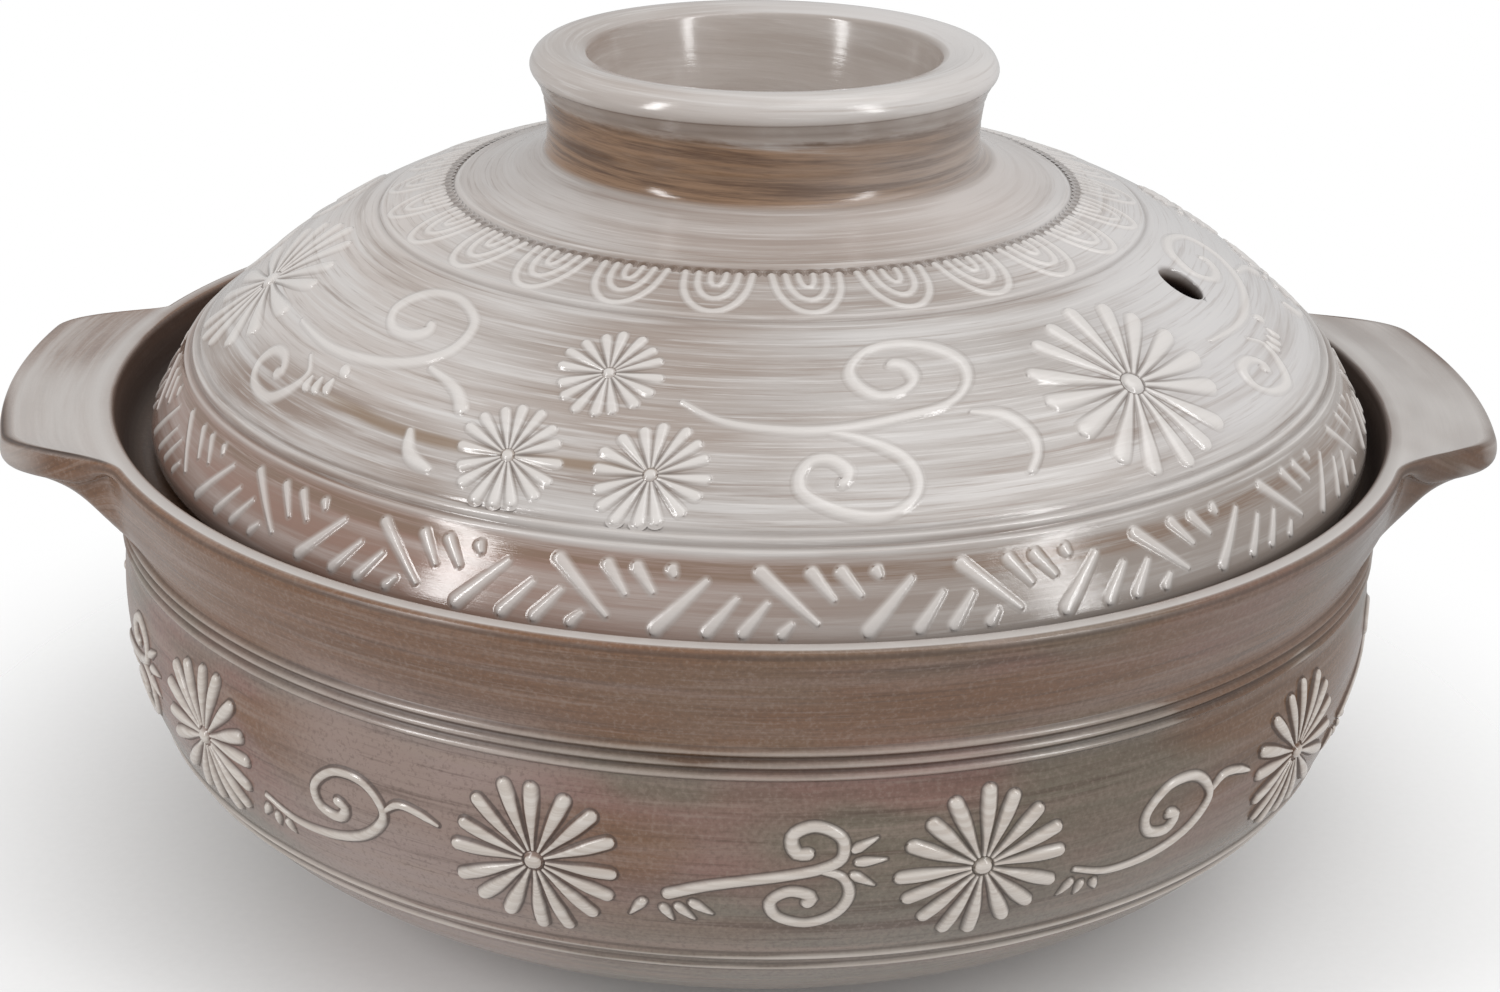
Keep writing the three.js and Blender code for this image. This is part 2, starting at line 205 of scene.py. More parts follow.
# Pale slip on the rim and the lugs, painted shadow in a dark line under the rim, and a dark line along
# the lugs' front edges.
rim_edge_slip = neck_rows(0, 0, [0, 0, 0, 0, 0.15, 0.6], 0.95)
flank_slip = neck_rows(0, 0, 0, 0.9)
tip_slip = neck_rows(0, np.linspace(0.35, 0.6, len(nose_angle)), 0.6, 0.9)
front_edge = smooth(0.0, 0.2, np.cos(pot_azimuths)) * np.where(np.sin(pot_azimuths) < 0, 1.0, 0.3)
lug_slip = flank_slip + (tip_slip - flank_slip) * smooth(8.0, 15.5, reach)
lug_slip *= 1 - 0.85 * neck_rows(0, 0, [0, 0, 0, 1, 1, 1], 0) * front_edge
neck_slip = rim_edge_slip + (lug_slip - rim_edge_slip) * lug_share
edge_pool = neck_rows(0, 0, [0, 0, 0, 0.6, 1.0, 0.7], 0) * smooth(0.4, 2.0, reach) * front_edge
# The dark line under the rim's rounded edge is painted shadow.
shadow_under_rim = neck_rows(0, [0, 0, 0, 0, 0, 0.4], [0.55, 0.4, 0, 0, 0, 0], 0) * (1 - lug_share)
neck_pool_and_shade = edge_pool + shadow_under_rim

# Rows that are plain circles, as radius, level, share of pale slip and share of dark pooled glaze and painted
# shade.
inner_turn = np.radians(np.linspace(90, 180, 6))
rim_in_radius = rim_inner + rim_round + rim_round * np.cos(inner_turn)
rim_in = np.stack([rim_in_radius, pot_height - rim_round + rim_round * np.sin(inner_turn)], 1)
gallery = bezier((rim_inner, 89.4), (120.0, 85.5), (119.4, ledge_level), (115.5, ledge_level), 12)
ledge_lip = bezier((113.4, ledge_level), (112.0, ledge_level), (111.4, 81.2), (ledge_inner, 79.5), 6)
cavity = bezier((111.4, 74.0), (113.5, 34.0), (106.0, 9.5), (58.0, floor_level), 22)
cavity_floor = np.array([(40.0, floor_level), (15.0, floor_level)])
foot = np.array([(66.0, 0.0), (67.6, 0.12), (68.6, 0.7), (69.1, 1.6), (69.4, 2.6)])
base = np.array([(20.0, 0.0), (45.0, 0.0)])


def shaded_rows(points, slip=0.0, pool_and_shade=0.0):
    ones = np.ones(len(points))
    return np.stack([points[:, 0], points[:, 1], slip * ones, pool_and_shade * ones], 1)


# Beside the foot lines and between the beads the dark share is pooled glaze and painted shade in the grooves.
below_neck = np.concatenate([
    shaded_rows(base),
    shaded_rows(foot),
    shaded_rows(belly, 0.85 * line_crest, 0.6 * np.clip(line_foot, 0, 1)),
    shaded_rows(collar, 0.42 * bead_wave**2, 0.6 * (1 - bead_wave) ** 2),
])
# Inside the rim the dark share is pooled glaze and painted shade, deepest as painted shade in the gutter
# round the lid.
above_neck = np.concatenate([
    shaded_rows(rim_in, [0.7, 0.4, 0.1, 0.0, 0.0, 0.0], [0.0, 0.1, 0.4, 0.7, 0.8, 0.8]),
    shaded_rows(gallery, 0.0, np.interp(np.arange(len(gallery)), [0, 5, 8, 11], [0.8, 0.95, 0.95, 0.5])),
    shaded_rows(ledge_lip, 0.0, 0.4),
    shaded_rows(cavity, 0.0, 0.5),
    shaded_rows(cavity_floor, 0.0, 0.5),
])


def turned_points(radii, levels, azimuths):
    return np.stack(np.broadcast_arrays(radii * np.sin(azimuths), -radii * np.cos(azimuths), levels), -1)


def skin_faces(rows, columns):
    """Quads between rows that run all round, facing out when the rows go up the outside."""
    corner = np.arange(rows - 1)[:, None] * columns + np.arange(columns)
    beside = np.arange(rows - 1)[:, None] * columns + (np.arange(columns) + 1) % columns
    return np.stack([corner, beside, beside + columns, corner + columns], -1).reshape(-1, 4)


def glazed_mesh(name, points, faces, slip, pool_and_shade):
    """A smooth mesh in metres that carries the slip and the pooled glaze and painted shade of each point."""
    mesh = bpy.data.meshes.new(name)
    mesh.from_pydata((points * MM).tolist(), [], [list(face) for face in faces])
    for kind, values in (("slip", slip), ("pool_and_shade", pool_and_shade)):
        layer = mesh.attributes.new(kind, "FLOAT", "POINT")
        layer.data.foreach_set("value", np.ascontiguousarray(values, np.float32))
    mesh.polygons.foreach_set("use_smooth", np.ones(len(mesh.polygons), bool))
    mesh.update()
    made = bpy.data.objects.new(name, mesh)
    bpy.context.scene.collection.objects.link(made)
    return made


def closed_skin(grid, slip, pool_and_shade):
    """Points, faces, slip, and pooled glaze and painted shade of rows whose first and last are closed to
    their middles.
    """
    rows, columns = grid.shape[:2]
    points = np.concatenate([grid.reshape(-1, 3), grid[:1].mean(1), grid[-1:].mean(1)])
    first, last = rows * columns, rows * columns + 1
    ring = np.arange(columns)
    after = (ring + 1) % columns
    last_row = (rows - 1) * columns
    low_cap = [(first, b, a) for a, b in zip(ring, after)]
    high_cap = [(last, a, b) for a, b in zip(ring + last_row, after + last_row)]
    faces = skin_faces(rows, columns).tolist() + low_cap + high_cap
    slip = np.concatenate([slip.ravel(), slip[0, :1], slip[-1, :1]])
    pool_and_shade = np.concatenate([pool_and_shade.ravel(), pool_and_shade[0, :1], pool_and_shade[-1, :1]])
    return points, faces, slip, pool_and_shade


def whole_pot(kind, neck):
    """One kind of value over all rows and columns of the pot, from foot to inside."""
    every_column = np.ones(len(pot_azimuths))
    below = below_neck[:, kind : kind + 1] * every_column
    above = above_neck[:, kind : kind + 1] * every_column
    return np.concatenate([below, neck, above])


pot_grid = turned_points(whole_pot(0, neck_radii), whole_pot(1, neck_levels), pot_azimuths)
pot = glazed_mesh("pot", *closed_skin(pot_grid, whole_pot(2, neck_slip), whole_pot(3, neck_pool_and_shade)))


def tone(red, green, blue):
    """A colour as seen, 0 to 255, as the light it stands for."""
    seen = np.array([red, green, blue]) / 255
    light = np.where(seen <= 0.04045, seen / 12.92, ((seen + 0.055) / 1.055) ** 2.4)
    return (*light.tolist(), 1.0)


class Shader:
    """Short hand for adding nodes to one material and joining them. Lengths are in metres."""

    def __init__(self, name):
        self.material = bpy.data.materials.new(name)
        self.material.use_nodes = True
        self.tree = self.material.node_tree
        self.surface = self.tree.nodes["Principled BSDF"]

    def set(self, socket, value):
        if isinstance(value, bpy.types.NodeSocket):
            self.tree.links.new(value, socket)
        else:
            socket.default_value = value

    def node(self, kind, *inputs, **settings):
        made = self.tree.nodes.new(kind)
        for key, value in settings.items():
            setattr(made, key, value)
        for socket, value in zip(made.inputs, inputs):
            self.set(socket, value)
        return made

    def fill(self, made, values):
        for name, value in values.items():
            self.set(made.inputs[name], value)

    def math(self, operation, *inputs):
        return self.node("ShaderNodeMath", *inputs, operation=operation).outputs[0]

    def times(self, first, *others):
        for other in others:
            first = self.math("MULTIPLY", first, other)
        return first

    def noise(self, where, scale, detail, roughness=0.5):
        made = self.node("ShaderNodeTexNoise")
        self.fill(made, {"Vector": where, "Scale": scale, "Detail": detail, "Roughness": roughness})
        return made.outputs["Fac"]

    def streaks(self, where, across, along, detail, roughness=0.5):
        """Noise drawn out by a brush: its repeats per metre over the first two axes and over the third."""
        factors = (across, across, along)
        stretched = self.node("ShaderNodeVectorMath", where, factors, operation="MULTIPLY").outputs[0]
        return self.noise(stretched, 1.0, detail, roughness)

    def span(self, value, low, high, at_high=1.0, at_low=0.0):
        """A smooth step: at_low where the value reaches low, at_high where it reaches high."""
        ends = (low, high, at_low, at_high)
        return self.node("ShaderNodeMapRange", value, *ends, interpolation_type="SMOOTHSTEP").outputs[0]

    def mix(self, share, first, second):
        """Two colours mixed, each a socket or plain red, green and blue as seen."""
        first, second = (tone(*c) if isinstance(c, tuple) else c for c in (first, second))
        made = self.node("ShaderNodeMix", data_type="RGBA")
        self.fill(made, {"Factor": share, "A": first, "B": second})
        return made.outputs["Result"]

    def tinted(self, body, *tints):
        """Lays tints over a body colour in turn, each given as its share and its colour."""
        for share, colour in tints:
            body = self.mix(share, body, colour)
        return body

    def attribute(self, name):
        return self.node("ShaderNodeAttribute", attribute_name=name).outputs["Fac"]

    def place(self):
        return self.node("ShaderNodeTexCoord").outputs["Object"]

    def parts(self, vector):
        return self.node("ShaderNodeSeparateXYZ", vector).outputs

    def joined(self, x, y, z):
        return self.node("ShaderNodeCombineXYZ", x, y, z).outputs[0]

    def distance(self, x, y):
        return self.math("SQRT", self.math("ADD", self.times(x, x), self.times(y, y)))

    def glossy(self, colour, roughness, marks, ripple_scale, strength):
        """A clear glaze over the colour, whose surface follows the brush marks and a slight ripple."""
        ripple = self.noise(self.place(), ripple_scale, 2.0)
        height = self.math("ADD", self.times(marks, 0.5), self.times(ripple, 0.8))
        lift = self.node("ShaderNodeBump")
        self.fill(lift, {"Strength": strength, "Distance": 0.0006, "Height": height})
        self.fill(self.surface, {"Base Color": colour, "Roughness": roughness, "IOR": 1.65})
        self.set(self.surface.inputs["Normal"], lift.outputs[0])


def pot_glaze():
    """Grey-brown clay under brushed slip: mauve, olive and brown patches crossed by level brush streaks."""
    glaze = Shader("pot_glaze")
    span, times = glaze.span, glaze.times
    place = glaze.place()
    x, y, level = glaze.parts(place)
    radius = glaze.distance(x, y)
    brushed = glaze.joined(x, y, glaze.math("MULTIPLY_ADD", radius, 0.7, level))
    broad = glaze.streaks(brushed, 9, 160, 4.0, 0.6)
    streak = glaze.streaks(brushed, 14, 420, 5.0, 0.62)
    fine = glaze.streaks(brushed, 40, 1400, 4.0, 0.65)
    patch = glaze.streaks(brushed, 13, 36, 3.0, 0.55)
    moved = glaze.node("ShaderNodeVectorMath", brushed, (0.31, 0.17, 0.05), operation="ADD").outputs[0]
    other_patch = glaze.streaks(moved, 16, 50, 3.0)
    grain = glaze.noise(place, 1300.0, 2.0, 0.6)

    # Clay: brown on the neck, and greyer low on the belly, partly as a painted reflection of the floor.
    # Painted light on its left front, and painted shade to the right and on the neck under the right lug.
    mauve = (138, 103, 93)
    olive = (117, 107, 92)
    brown = (124, 87, 60)
    at_neck = times(span(level, 0.066, 0.076), span(x, 0.06, -0.06, 0.95, 0.35))
    low_belly = span(level, 0.054, 0.03, 0.75)
    painted_light_left_front = times(span(x, -0.025, -0.05, 0.75), span(x, -0.09, -0.072), span(level, 0.08, 0.07))
    shade_under_right_lug = times(span(x, 0.09, 0.105), span(level, 0.072, 0.077, 0.45))
    body = glaze.tinted(
        mauve,
        (span(patch, 0.42, 0.56), olive),
        (span(other_patch, 0.47, 0.6, 0.9), brown),
        (at_neck, brown),
        (low_belly, (133, 126, 117)),
        # painted light on the left front
        (painted_light_left_front, (165, 147, 140)),
        (span(broad, 0.5, 0.68, 0.5), (152, 128, 117)),
        (span(broad, 0.48, 0.32, 0.32), (88, 66, 53)),
        (span(streak, 0.52, 0.75, 0.5), (162, 142, 130)),
        (span(streak, 0.46, 0.28, 0.6), (76, 53, 40)),
        (span(fine, 0.52, 0.72, 0.4), (156, 137, 126)),
        (span(fine, 0.46, 0.3, 0.4), (78, 57, 46)),
        (span(grain, 0.5, 0.7, 0.3), (156, 138, 126)),
        (span(grain, 0.5, 0.3, 0.3), (86, 66, 54)),
        # painted shade: darker to the right, and darker still on the neck under the right lug
        (span(x, 0.0, 0.1, 0.33), (84, 68, 54)),
        (shade_under_right_lug, (92, 68, 55)),
    )

    # Slip, thin in places and worn off the lugs' backs, with dark glaze pooled beside it and painted shade in
    # grooves and in the gutter.
    slip = glaze.attribute("slip")
    pool_and_shade = glaze.attribute("pool_and_shade")
    thin = times(glaze.math("SUBTRACT", 1.04, slip), span(other_patch, 0.5, 0.66, 1.5))
    slip = glaze.math("MAXIMUM", glaze.math("SUBTRACT", slip, thin), 0.0)
    on_lug = times(span(radius, 0.124, 0.127), span(level, 0.088, 0.0895))
    at_lug_back = times(span(y, -0.008, 0.014, 1.0, 0.25), span(x, 0.02, -0.02, 1.0, 0.35))
    worn = times(on_lug, span(streak, 0.4, 0.62, 0.2, 0.7), at_lug_back)
    slip = times(slip, glaze.math("SUBTRACT", 1.0, worn))
    slip_tone = glaze.tinted(
        (204, 193, 183),
        (span(fine, 0.35, 0.65), (222, 214, 206)),
        (span(level, 0.08, 0.086), (208, 203, 199)),
    )
    pool_and_shade_tone = glaze.mix(span(radius, 0.1195, 0.1175), (48, 35, 29), (64, 53, 45))
    body = glaze.tinted(body, (times(pool_and_shade, 0.92), pool_and_shade_tone), (slip, slip_tone))
    gloss = glaze.math("MULTIPLY_ADD", pool_and_shade, 0.5, span(streak, 0.2, 0.8, 0.26, 0.14))
    glaze.glossy(body, gloss, fine, ripple_scale=90.0, strength=0.2)
    return glaze.material


pot_finish = pot_glaze()
pot.data.materials.append(pot_finish)
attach(pot, "pot")
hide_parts("pot_bowl", "left_handle", "right_handle")


# POT ORNAMENT
# A frieze of chrysanthemum stamps and trailing scrolls round the belly, raised in white slip. The clear
# glaze runs off the raised slip and pools dark along its foot, and the dark foot is painted shade as well.
frieze_level = 49.3
petal_count = 16
front_pitch = math.radians(34.35)
first_flower = math.radians(-53.95)
front_gaps = 3
frieze_count = 10
line_rise = 0.7
belly_up = respaced(belly_curve, np.linspace(0, belly_length, 400))
belly_up_ways = outward(belly_up)
belly_run = lengths(belly_up)
frieze_place = np.interp(frieze_level, belly_up[:, 1], belly_run)


def on_turned(profile, ways, run, azimuth, across, up):
    """Points and normals on a turned surface, from millimetres across and up it about a centre."""
    radius = np.interp(up, run, profile[:, 0])
    level = np.interp(up, run, profile[:, 1])
    way_out = np.interp(up, run, ways[:, 0])
    way_up = np.interp(up, run, ways[:, 1])
    turn = azimuth + across / radius
    return turned_points(radius, level, turn), turned_points(way_out, way_up, turn)


def on_belly(azimuth, across, up):
    return on_turned(belly_up, belly_up_ways, belly_run, azimuth, across, frieze_place + up)


def flowing(points):
    """A smooth line through the points."""
    points = np.array(points, float)
    if len(points) == 2:
        return points
    ends = np.concatenate([2 * points[:1] - points[1:2], points, 2 * points[-1:] - points[-2:-1]])
    t = np.linspace(0, 1, 16, endpoint=False)[:, None]
    runs = []
    for a, b, c, d in zip(ends, ends[1:], ends[2:], ends[3:]):
        bend = (c - a) * t + (2 * a - 5 * b + 4 * c - d) * t**2 + (3 * b - a - 3 * c + d) * t**3
        runs.append(b + 0.5 * bend)
    return np.concatenate([*runs, points[-1:]])


def swelling(start, end):
    """Half-width of a line that grows or tapers evenly from its start to its end."""
    return lambda t: start + (end - start) * t


def stroke(thick, start=0.55, end=0.55):
    """Half-width of a trailed line that swells along its middle."""
    return lambda t: thick * np.interp(t, [0, 0.25, 0.75, 1], [start, 1, 1, end])


def leaf(thick):
    """Half-width of a short flick of slip, round at its start and pointed at its end."""
    return lambda t: thick * np.interp(t, [0, 0.3, 1], [0.65, 1, 0.15])


def petal_width(thick, fullest):
    """Half-width of a petal: a narrow foot that swells to a club, fullest at a share of its length."""
    return lambda t: thick * (0.22 + 0.78 * smooth(0, fullest, t) - 0.06 * smooth(fullest, 1.0, t))


def mirrored(flank, crest):
    """Values across a ridge, from the outside of one flank over the crest to the other."""
    return np.stack([*flank, crest, *flank[::-1]], 1)


class Relief:
    """Raised slip lines on one turned surface, gathered into one mesh."""

    def __init__(self, surface, skirt, depth):
        self.surface = surface
        self.skirt = skirt
        self.depth = depth
        self.points, self.faces, self.slip, self.pool_and_shade = [], [], [], []
        self.count = 0

    def line(
        self, azimuth, path, half_width, height, slip=1.0, dark=1.0, core_pool_and_shade=0.0, soft=1.0, fade=0.0
    ):
        """A round-ended ridge along a path. half_width maps 0 to 1 along the path to millimetres."""
        path = flowing(path)
        total = lengths(path)[-1]
        first, last = np.minimum(half_width(np.array([0.0, 1.0])), 0.45 * total)
        turn = np.linspace(0, math.pi / 2, 6)[:-1]
        middle = np.linspace(first, total - last, max(3, int((total - first - last) / 0.8) + 1))
        round_start = first * (1 - np.cos(turn))
        round_end = total - last * (1 - np.cos(turn[::-1]))
        places = np.concatenate([round_start, middle, round_end])
        ahead = np.concatenate([-np.cos(turn), 0 * middle, np.cos(turn[::-1])])
        beside = np.sqrt(1 - ahead**2)
        width = half_width(places / total) * beside
        path = respaced(path, places)
        along = np.gradient(path, axis=0)
        along /= np.linalg.norm(along, axis=1)[:, None]
        side = np.stack([-along[:, 1], along[:, 0]], 1)

        # Across the ridge: a skirt sunk into the wall, a foot darkened with pooled glaze and painted shade,
        # and a round crest.
        cover = np.clip(width / 0.25, 0, 1)
        rise = height * np.sqrt(width / width.max()) * cover
        skirt = self.skirt * soft
        foot = self.depth * dark * (1 - fade * places / total)
        core = cover * core_pool_and_shade
        none = np.zeros_like(width)
        spread = [width + skirt * beside, width + 0.45 * skirt * beside, width, 0.72 * width, 0.36 * width]
        push = [skirt * ahead, 0.45 * skirt * ahead, none, none, none]
        lift = [none - 0.03, none + 0.02, 0.25 * rise + 0.02, 0.78 * rise + 0.01, 0.95 * rise + 0.01]
        skirt_slip = none + 0.3 * (soft - 1) * slip
        slips = [none, skirt_slip, 0.4 * soft * cover * slip, 0.95 * cover * slip, cover * slip]
        dark_shares = [none, foot, 0.8 * foot, core, core]
        offsets = np.stack([*[-s for s in spread], none, *spread[::-1]], 1)
        pushes = mirrored(push, none)
        spots = path[:, None, :] + side[:, None, :] * offsets[:, :, None]
        spots = spots + along[:, None, :] * pushes[:, :, None]
        spot_places, normals = self.surface(azimuth, spots[..., 0], spots[..., 1])
        heights = mirrored(lift, rise + 0.01)
        self.points.append((spot_places + normals * heights[..., None]).reshape(-1, 3))
        self.slip.append(mirrored(slips, cover * slip).ravel())
        self.pool_and_shade.append(mirrored(dark_shares, core).ravel())
        rows, columns = offsets.shape
        corner = self.count + np.arange(rows - 1)[:, None] * columns + np.arange(columns - 1)
        quads = np.stack([corner + 1, corner + columns + 1, corner + columns, corner], -1)
        self.faces.append(quads.reshape(-1, 4))
        self.count += rows * columns

    def dot(self, azimuth, middle, radius, height, slip=1.0, dark=1.0):
        middle = np.array(middle, float)
        ends = [middle - (radius, 0), middle + (radius, 0)]
        self.line(azimuth, ends, swelling(radius, radius), height, slip, dark)

    def flower(
        self, azimuth, middle, radius, half_width, height, slip=1.0, dark=1.0, fade=0.0, stretch=(1.0, 1.0)
    ):
        """A stamp of club-shaped petals round a dot, each a little off true as pressed by hand."""
        middle = np.array(middle, float)
        petal_shape = petal_width(half_width, 0.74 + 0.2 * fade)
        for k in range(petal_count):
            waver = 0.03 * math.sin(k * 2.4 + azimuth * 5 + middle[0])
            tip = radius * (1 + 0.04 * math.sin(k * 1.7 + azimuth * 3 + middle[1]))
            angle = k * 2 * math.pi / petal_count + waver
            way = np.array([math.cos(angle) * stretch[0], math.sin(angle) * stretch[1]])
            petal = [middle + way * radius * 0.13, middle + way * tip]
            self.line(azimuth, petal, petal_shape, height, slip, dark, soft=1 + 0.3 * fade, fade=fade)
        self.dot(azimuth, middle, radius * 0.1, height * 1.2, slip, 0.1)

    def mesh(self, name, place=lambda points: points):
        points = place(np.concatenate(self.points))
        faces = np.concatenate(self.faces).tolist()
        return glazed_mesh(name, points, faces, np.concatenate(self.slip), np.concatenate(self.pool_and_shade))


# The frieze is closer spaced round the back, where its gaps share what the front leaves.
frieze = Relief(on_belly, 0.6, 0.7)
back_pitch = (2 * math.pi - front_gaps * front_pitch) / (frieze_count - front_gaps)
flower_azimuths = []
for k in range(frieze_count):
    front_turn = first_flower + front_pitch * min(k, front_gaps)
    flower_azimuths.append(front_turn + back_pitch * max(k - front_gaps, 0))
    frieze.flower(flower_azimuths[k], (0, 0), 14.2, 1.22, 0.85)

# Double curl with its stem, and single curl with its tail, as millimetres from the middle of a gap.
double_curl = [
    (-15.2, -3.6), (-9.0, -1.5), (-2.8, -0.2), (4.0, 0.9), (9.6, 2.1), (12.9, 4.0),
    (12.7, 7.7), (8.6, 9.8), (5.0, 8.3), (5.6, 5.2), (8.4, 5.0),
]
lower_curl = [
    (9.4, 2.0), (13.2, 0.3), (14.3, -3.2), (12.2, -7.0), (7.7, -8.9),
    (3.0, -7.4), (1.8, -4.2), (4.8, -2.1), (8.2, -3.2), (7.2, -5.2),
]
single_curl = [
    (-19.1, -4.5), (-11.3, -6.9), (-1.8, -6.2), (5.4, -3.2), (9.2, 1.9), (5.6, 6.5),
    (-0.8, 6.8), (-5.4, 2.9), (-4.6, -0.9), (-0.6, -1.9), (1.2, 0.5), (-1.2, 1.6),
]
curl_tail = [(9.4, 2.6), (12.2, 4.6), (16.0, 4.2), (19.9, 2.7)]
double_leaves = [((14.3, 5.2), (18.6, 7.5)), ((14.9, 3.1), (20.2, 3.4)), ((14.3, 1.1), (18.4, -1.5))]
stem_leaves = [
    ((-18.0, -4.7), (-20.5, -8.5)), ((-15.4, -5.6), (-13.4, -9.0)),
    ((-13.2, -5.3), (-9.9, -8.6)), ((-11.0, -4.5), (-7.1, -7.2)),
]
single_leaves = [
    ((-18.6, -6.6), (-20.8, -9.8)), ((-16.6, -7.4), (-17.2, -10.6)), ((-14.4, -7.8), (-13.0, -10.6)),
]
next_azimuths = [*flower_azimuths[1:], flower_azimuths[0] + 2 * math.pi]
for k, (azimuth, next_azimuth) in enumerate(zip(flower_azimuths, next_azimuths)):
    middle = azimuth + (next_azimuth - azimuth) / 2
    if k % 2:
        frieze.line(middle, double_curl, stroke(0.86, 1.2, 1.25), line_rise)
        frieze.line(middle, lower_curl, stroke(0.86, 0.7, 1.25), line_rise)
        flicks = double_leaves + stem_leaves
    else:
        frieze.line(middle, single_curl, stroke(0.82, 0.5, 1.2), line_rise)
        frieze.line(middle, curl_tail, stroke(0.7, 0.6, 0.4), line_rise)
        flicks = single_leaves
    for flick in flicks:
        frieze.line(middle, flick, leaf(0.85), line_rise)
pot_ornament = frieze.mesh("pot_ornament")
pot_ornament.data.materials.append(pot_finish)
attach(pot_ornament, "pot")


# LID AND RING GRIP
# The lid is a turned dome with a sloping band at its edge, scored lines above it, and a hollow ring luted
# on top as a grip. It rests on the ledge pushed a little to one side and leans, as set down by hand.
lid_shift = 1.6
lid_lean = math.radians(0.68)
lid_radius = 116.0
lid_bottom = 82.3
lid_shoulder = 88.0
band_top = 99.9
band_top_radius = 109.2
fillet_foot = 53.6
grip_top = 155.4
lip_radius = 43.6
bore_radius = 33.0
neck_of_grip = 40.6
neck_level = 139.5
wheel_mark_depth = 0.22


def set_down(points):
    """Moves points of the lid from its own axis to where it rests, leaning above its seat."""
    share = smooth(lid_bottom, lid_shoulder, points[:, 2])
    x = points[:, 0]
    z = points[:, 2] - lid_shoulder
    leaning_x = x * math.cos(lid_lean) - z * math.sin(lid_lean)
    leaning_z = x * math.sin(lid_lean) + z * math.cos(lid_lean)
    moved = points.copy()
    moved[:, 0] = lid_shift + x + share * (leaning_x - x)
    moved[:, 2] = lid_shoulder + z + share * (leaning_z - z)
    return moved


# Grip, from its floor up the bore, over the lip and down the neck to the dome.
bore = bezier((20.0, 133.8), (26.0, 133.9), (29.4, 135.0), (30.1, 138.5), 10)
bore_wall = bezier((30.4, 140.0), (31.3, 144.6), (32.2, 149.4), (bore_radius, 153.5), 8)[:-1]
lip_edge = bezier((bore_radius, 153.5), (33.1, 153.95), (33.3, 154.15), (33.9, 154.3), 6)[:-1]
lip_inside = bezier((33.9, 154.3), (35.6, 154.75), (37.4, grip_top), (39.4, grip_top), 10)[:-1]
lip_outside = bezier((39.4, grip_top), (41.5, grip_top), (42.8, 154.2), (43.3, 152.9), 10)[:-1]
lip_turn = bezier((43.3, 152.9), (lip_radius + 0.1, 152.1), (lip_radius + 0.1, 151.3), (43.1, 150.5), 9)
lip = np.concatenate([lip_edge, lip_inside, lip_outside, lip_turn])
throat = bezier((43.1, 150.5), (42.2, 149.1), (neck_of_grip, 147.2), (neck_of_grip, neck_level), 60)[1:]
dome_curve = bezier((41.5, 132.44), (74.4, 129.87), (93.55, 115.1), (band_top_radius, band_top), 800)
dome_curve = dome_curve[dome_curve[:, 0] > fillet_foot]
fillet = bezier((neck_of_grip, neck_level), (neck_of_grip, 136.7), (40.9, 135.9), (42.4, 135.3), 40)[1:]
sweep = bezier((42.4, 135.3), (44.9, 134.2), (48.6, 132.0), dome_curve[0], 30)[1:-1]
grip_side = np.concatenate([throat, fillet, sweep])
grip_side = respaced(grip_side, np.linspace(0, lengths(grip_side)[-1], 54))

# Finger marks from the wheel run round the grip as shallow grooves, given as level and share of depth.
wheel_marks = ((150.2, 0.5), (148.4, 0.7), (146.4, 1.0), (142.3, 0.5), (140.6, 1.0))
grip_marks = sum(depth * bump(grip_side[:, 1] - level, 0.42) for level, depth in wheel_marks)
grip_side = grip_side + outward(grip_side) * (wheel_mark_depth * grip_marks)[:, None]

# Lines turned into the dome, as radius and how far they stand out of the surface.
dome_lines = [
    (108.9, 0.35), (108.1, -0.4), (107.3, 0.35), (106.5, -0.3),
    (72.2, -0.3), (71.2, 0.2), (58.2, -0.25), (57.0, 0.2),
]
dome_run = lengths(dome_curve)
dome_length = dome_run[-1]
dome_line_places = [(np.interp(radius, dome_curve[:, 0], dome_run), proud) for radius, proud in dome_lines]
line_spots = [place + np.linspace(-0.5, 0.5, 5) for place, _ in dome_line_places]
dome_places = np.concatenate([np.linspace(0, dome_length, 58), *line_spots])
dome_places = np.unique(dome_places.clip(0, dome_length).round(2))
dome = respaced(dome_curve, dome_places)
dome_lift = sum(proud * bump(dome_places - place, 0.42) for place, proud in dome_line_places)
dome = dome - outward(dome) * dome_lift[:, None]
band = bezier((band_top_radius, band_top), (111.6, 96.2), (114.6, 91.6), (lid_radius, lid_shoulder), 18)[1:]
edge = bezier((lid_radius, lid_shoulder), (116.4, 85.5), (115.8, 82.9), (113.6, lid_bottom), 9)[1:]
hollow = bezier((110.6, lid_bottom), (110.0, 92.0), (98.0, 110.0), (53.3, 123.6), 68)
hollow_crown = np.array([(40.0, 126.8), (20.0, 127.4)])


def lid_rows(points, slip=0.0, pool_and_shade=0.0):
    return shaded_rows(points, slip, pool_and_shade)[::-1]


